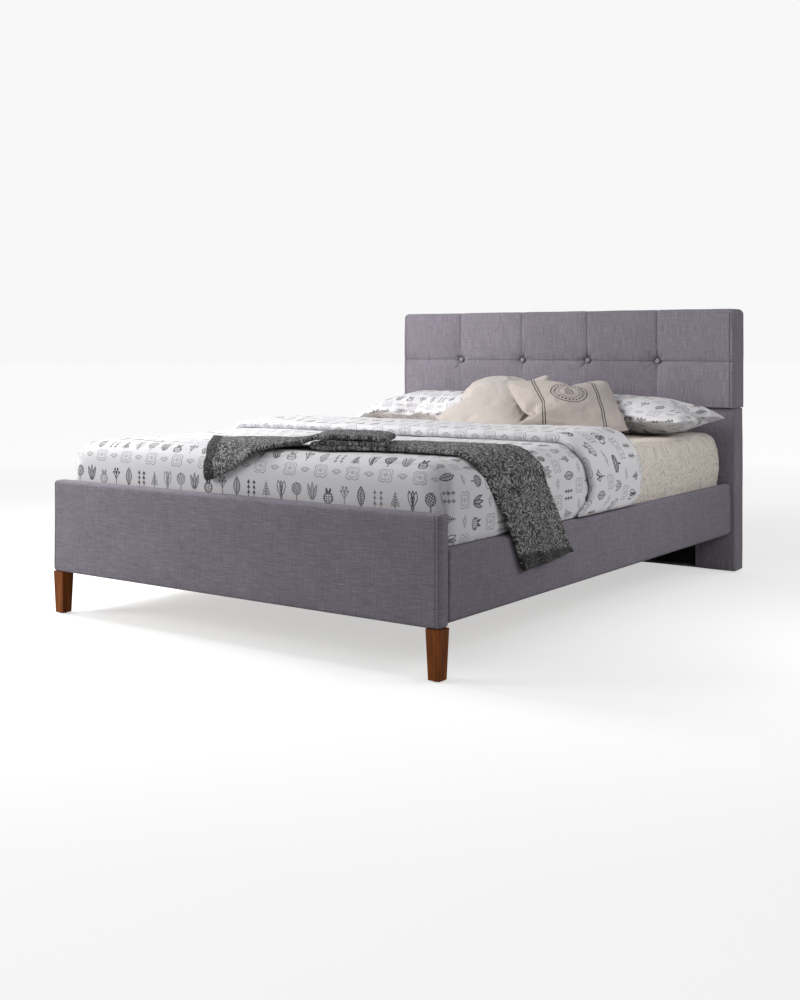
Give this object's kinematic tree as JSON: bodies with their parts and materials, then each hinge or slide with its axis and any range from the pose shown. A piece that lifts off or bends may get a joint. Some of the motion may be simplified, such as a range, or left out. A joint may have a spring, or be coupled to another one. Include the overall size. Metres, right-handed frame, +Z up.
{
  "type": "upholstered headboard bed",
  "caption": "Double bed with tufted upholstered headboard, upholstered footboard and rails, slatted base, mattress, fleece cover, duvet, pillows, cushions and a knitted throw.",
  "frame": {"origin": "on the floor, at the centre of the bed's footprint", "axes": "+X to the right seen from the foot end, +Y from the footboard to the headboard, +Z up"},
  "size_m": [1.61, 2.165, 1.05],
  "materials": {
    "upholstery": "matte",
    "black_lining": "matte",
    "leg_wood": "satin",
    "frame_timber": "matte",
    "slat_wood": "matte",
    "zinc_steel": "satin",
    "black_steel": "satin",
    "glide_plastic": "matte",
    "webbing": "matte",
    "mattress_ticking": "matte",
    "fleece": "matte",
    "printed_cotton": "matte",
    "cream_cotton": "matte",
    "cream_canvas": "matte",
    "grey_knit": "matte"
  },
  "bodies": {
    "bed_frame": {"headboard_upper_pad": "upholstery", "headboard_lower_pad": "upholstery", "footboard_pad": "upholstery", "rail_left_pad": "upholstery", "rail_right_pad": "upholstery", "headboard_button_1": "upholstery", "headboard_button_2": "upholstery", "headboard_button_3": "upholstery", "headboard_button_4": "upholstery", "headboard_lower_lining": "black_lining", "headboard_back_lining": "black_lining", "leg_left": "leg_wood", "leg_right": "leg_wood", "headboard_upper_frame": "frame_timber", "headboard_lower_frame": "frame_timber", "headboard_strut_left": "frame_timber", "headboard_strut_right": "frame_timber", "footboard_frame": "frame_timber", "rail_left_board": "frame_timber", "rail_right_board": "frame_timber", "slat_ledge_left": "frame_timber", "slat_ledge_right": "frame_timber", "centre_beam": "frame_timber", "centre_leg_front": "frame_timber", "centre_leg_rear": "frame_timber", "slat_01": "slat_wood", "slat_02": "slat_wood", "slat_03": "slat_wood", "slat_04": "slat_wood", "slat_05": "slat_wood", "slat_06": "slat_wood", "slat_07": "slat_wood", "slat_08": "slat_wood", "slat_09": "slat_wood", "slat_10": "slat_wood", "slat_11": "slat_wood", "slat_12": "slat_wood", "headboard_bolts": "zinc_steel", "bracket_bolts": "zinc_steel", "ledge_screws": "zinc_steel", "hanger_bolts": "zinc_steel", "corner_bracket_foot_left": "black_steel", "corner_bracket_foot_right": "black_steel", "corner_bracket_head_left": "black_steel", "corner_bracket_head_right": "black_steel", "centre_beam_bracket_foot": "black_steel", "centre_beam_bracket_head": "black_steel", "floor_glides": "glide_plastic", "slat_webbing": "webbing"},
    "leveller_front": {"leveller_front": "glide_plastic"},
    "leveller_rear": {"leveller_rear": "glide_plastic"},
    "mattress": {"mattress": "mattress_ticking", "mattress_cover": "fleece"},
    "duvet": {"duvet": "printed_cotton"},
    "throw": {"throw": "grey_knit"},
    "pillow_left": {"pillow_left": "printed_cotton"},
    "pillow_right": {"pillow_right": "printed_cotton"},
    "cushion_plain": {"cushion_plain": "cream_cotton"},
    "cushion_printed": {"cushion_printed": "cream_canvas"}
  },
  "joints": [
    {"name": "leveller_front_screw", "type": "slide", "parent": "bed_frame", "child": "leveller_front", "axis": [0, 0, 1], "range_m": [0, 0.015]},
    {"name": "leveller_rear_screw", "type": "slide", "parent": "bed_frame", "child": "leveller_rear", "axis": [0, 0, 1], "range_m": [0, 0.015]},
    {"name": "mattress_lift", "type": "slide", "parent": "bed_frame", "child": "mattress", "axis": [0, 0, 1], "range_m": [0, 0.35]},
    {"name": "duvet_lift", "type": "slide", "parent": "mattress", "child": "duvet", "axis": [0, 0, 1], "range_m": [0, 0.3]},
    {"name": "throw_lift", "type": "slide", "parent": "duvet", "child": "throw", "axis": [0, 0, 1], "range_m": [0, 0.25]},
    {"name": "pillow_left_lift", "type": "slide", "parent": "mattress", "child": "pillow_left", "axis": [0, 0, 1], "range_m": [0, 0.3]},
    {"name": "pillow_right_pull", "type": "slide", "parent": "mattress", "child": "pillow_right", "axis": [1, 0, 0], "range_m": [0, 0.6]},
    {"name": "cushion_plain_lift", "type": "slide", "parent": "pillow_left", "child": "cushion_plain", "axis": [0, 0, 1], "range_m": [0, 0.25]},
    {"name": "cushion_printed_lift", "type": "slide", "parent": "cushion_plain", "child": "cushion_printed", "axis": [0, 0, 1], "range_m": [0, 0.25]}
  ]
}
